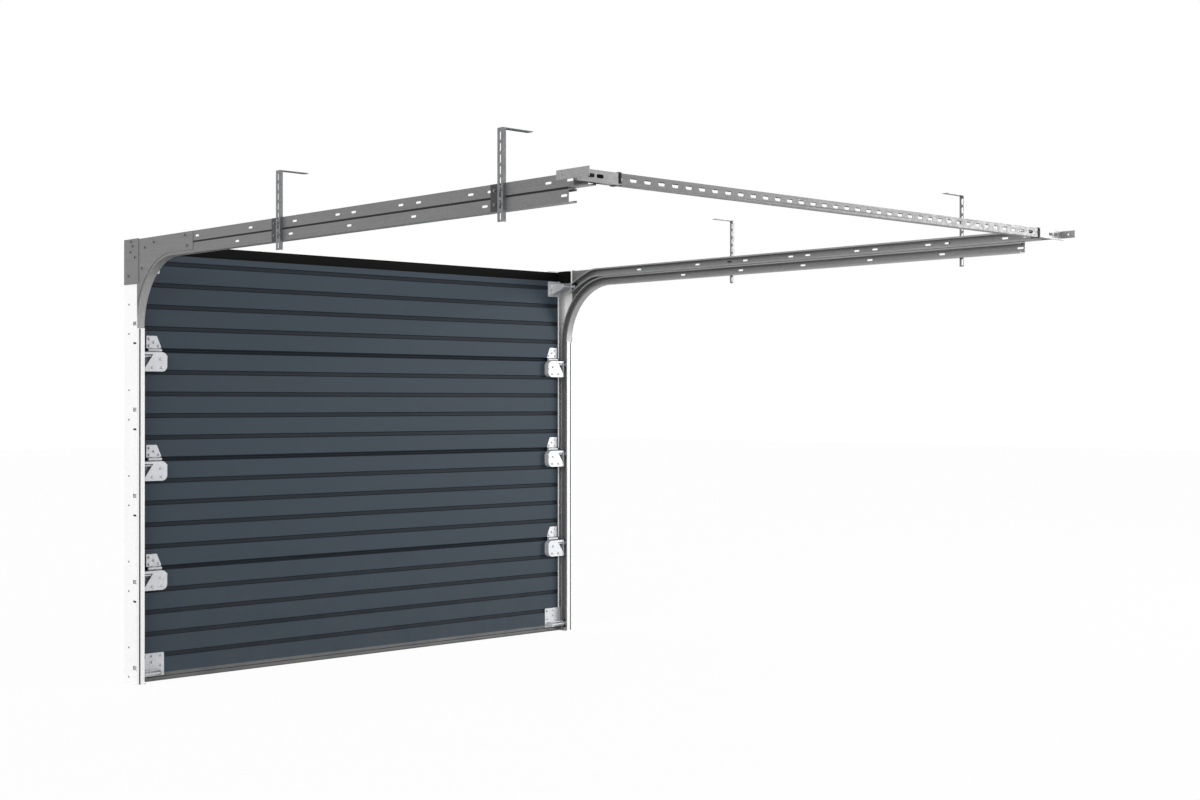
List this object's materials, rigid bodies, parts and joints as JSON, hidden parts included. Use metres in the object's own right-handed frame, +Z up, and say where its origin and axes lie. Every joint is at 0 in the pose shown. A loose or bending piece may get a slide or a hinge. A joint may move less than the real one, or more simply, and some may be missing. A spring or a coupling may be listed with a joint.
{
  "type": "sectional garage door",
  "caption": "Overhead sectional garage door with ribbed panels, side frames, double low-headroom tracks, ceiling hangers and a slotted rear rail.",
  "frame": {"origin": "middle of the header rail's face that bears on the wall, over the doorway's centre", "axes": "+X along the wall, +Y from the wall into the garage, +Z up; the floor is at z = -2.154 m"},
  "size_m": [3.061, 3.5175, 2.398],
  "materials": {
    "panel_anthracite": "satin",
    "galvanised_frame": "galvanised",
    "galvanised_track": "galvanised",
    "galvanised_fitting": "galvanised",
    "zinc_hardware": "zinc plated",
    "dark_steel": "dark",
    "black_rail": "matt",
    "rubber_seal": "matt",
    "bottom_rail": "satin",
    "black_nylon": "matt"
  },
  "bodies": {
    "frame": {"header_rail": "black_rail", "head_blocks": "black_rail", "hanger_clamps": "dark_steel", "cross_rail": "galvanised_track", "left_side_frame": "galvanised_frame", "left_side_seal": "rubber_seal", "left_vertical_track": "galvanised_frame", "left_curved_track": "galvanised_track", "left_lower_track": "galvanised_track", "left_upper_track": "galvanised_track", "left_head_plate": "galvanised_track", "left_flag_plate": "galvanised_track", "left_front_hanger": "galvanised_fitting", "left_rear_hanger": "galvanised_fitting", "left_rail_bracket": "dark_steel", "left_rail_end": "galvanised_fitting", "right_side_frame": "galvanised_frame", "right_side_seal": "rubber_seal", "right_vertical_track": "galvanised_frame", "right_curved_track": "galvanised_track", "right_lower_track": "galvanised_track", "right_upper_track": "galvanised_track", "right_head_plate": "galvanised_track", "right_flag_plate": "galvanised_track", "right_front_hanger": "galvanised_fitting", "right_rear_hanger": "galvanised_fitting", "right_rail_bracket": "dark_steel", "right_rail_end": "galvanised_fitting"},
    "curtain": {"bottom_section": "panel_anthracite", "section_2": "panel_anthracite", "section_3": "panel_anthracite", "curtain_end_caps": "galvanised_frame", "bottom_rail": "bottom_rail", "bottom_seal": "rubber_seal", "hinge_leaves": "zinc_hardware", "roller_stems": "zinc_hardware", "left_roller_carriers": "zinc_hardware", "left_bottom_bracket": "zinc_hardware", "right_roller_carriers": "zinc_hardware", "right_bottom_bracket": "zinc_hardware"},
    "top_leaf": {"top_section": "panel_anthracite", "top_end_caps": "galvanised_frame", "top_hinge_leaves": "zinc_hardware", "top_roller_stems": "zinc_hardware", "left_top_bracket": "zinc_hardware", "right_top_bracket": "zinc_hardware"},
    "left_bottom_wheel": {"left_bottom_wheel": "black_nylon"},
    "left_joint_1_wheel": {"left_joint_1_wheel": "black_nylon"},
    "left_joint_2_wheel": {"left_joint_2_wheel": "black_nylon"},
    "left_joint_3_wheel": {"left_joint_3_wheel": "black_nylon"},
    "left_top_wheel": {"left_top_wheel": "black_nylon"},
    "right_bottom_wheel": {"right_bottom_wheel": "black_nylon"},
    "right_joint_1_wheel": {"right_joint_1_wheel": "black_nylon"},
    "right_joint_2_wheel": {"right_joint_2_wheel": "black_nylon"},
    "right_joint_3_wheel": {"right_joint_3_wheel": "black_nylon"},
    "right_top_wheel": {"right_top_wheel": "black_nylon"}
  },
  "joints": [
    {"name": "door_lift", "type": "slide", "parent": "frame", "child": "curtain", "axis": [0, 0, 1], "range_m": [0, 0.13]},
    {"name": "top_section_tilt", "type": "hinge", "parent": "curtain", "child": "top_leaf", "pos_m": [0, 0.084, -0.50072], "axis": [-1, 0, 0], "range_deg": [0, 20.9]},
    {"name": "left_bottom_wheel_spin", "type": "hinge", "parent": "curtain", "child": "left_bottom_wheel", "pos_m": [1.418, 0.1, -2.109], "axis": [1, 0, 0], "continuous": true},
    {"name": "left_joint_1_wheel_spin", "type": "hinge", "parent": "curtain", "child": "left_joint_1_wheel", "pos_m": [1.418, 0.1, -1.61872], "axis": [1, 0, 0], "continuous": true},
    {"name": "left_joint_2_wheel_spin", "type": "hinge", "parent": "curtain", "child": "left_joint_2_wheel", "pos_m": [1.418, 0.1, -1.07472], "axis": [1, 0, 0], "continuous": true},
    {"name": "left_joint_3_wheel_spin", "type": "hinge", "parent": "curtain", "child": "left_joint_3_wheel", "pos_m": [1.418, 0.1, -0.53072], "axis": [1, 0, 0], "continuous": true},
    {"name": "left_top_wheel_spin", "type": "hinge", "parent": "top_leaf", "child": "left_top_wheel", "pos_m": [1.418, 0.177, -0.059], "axis": [1, 0, 0], "continuous": true},
    {"name": "right_bottom_wheel_spin", "type": "hinge", "parent": "curtain", "child": "right_bottom_wheel", "pos_m": [-1.418, 0.1, -2.109], "axis": [1, 0, 0], "continuous": true},
    {"name": "right_joint_1_wheel_spin", "type": "hinge", "parent": "curtain", "child": "right_joint_1_wheel", "pos_m": [-1.418, 0.1, -1.61872], "axis": [1, 0, 0], "continuous": true},
    {"name": "right_joint_2_wheel_spin", "type": "hinge", "parent": "curtain", "child": "right_joint_2_wheel", "pos_m": [-1.418, 0.1, -1.07472], "axis": [1, 0, 0], "continuous": true},
    {"name": "right_joint_3_wheel_spin", "type": "hinge", "parent": "curtain", "child": "right_joint_3_wheel", "pos_m": [-1.418, 0.1, -0.53072], "axis": [1, 0, 0], "continuous": true},
    {"name": "right_top_wheel_spin", "type": "hinge", "parent": "top_leaf", "child": "right_top_wheel", "pos_m": [-1.418, 0.177, -0.059], "axis": [1, 0, 0], "continuous": true}
  ],
  "couplings": [
    {"joint": "top_section_tilt", "follows": "door_lift", "rad_per_m": 2.8},
    {"joint": "left_bottom_wheel_spin", "follows": "door_lift", "rad_per_m": -44.248},
    {"joint": "left_joint_1_wheel_spin", "follows": "door_lift", "rad_per_m": -44.248},
    {"joint": "left_joint_2_wheel_spin", "follows": "door_lift", "rad_per_m": -44.248},
    {"joint": "left_joint_3_wheel_spin", "follows": "door_lift", "rad_per_m": -44.248},
    {"joint": "left_top_wheel_spin", "follows": "door_lift", "rad_per_m": -57.522},
    {"joint": "right_bottom_wheel_spin", "follows": "door_lift", "rad_per_m": -44.248},
    {"joint": "right_joint_1_wheel_spin", "follows": "door_lift", "rad_per_m": -44.248},
    {"joint": "right_joint_2_wheel_spin", "follows": "door_lift", "rad_per_m": -44.248},
    {"joint": "right_joint_3_wheel_spin", "follows": "door_lift", "rad_per_m": -44.248},
    {"joint": "right_top_wheel_spin", "follows": "door_lift", "rad_per_m": -57.522}
  ]
}
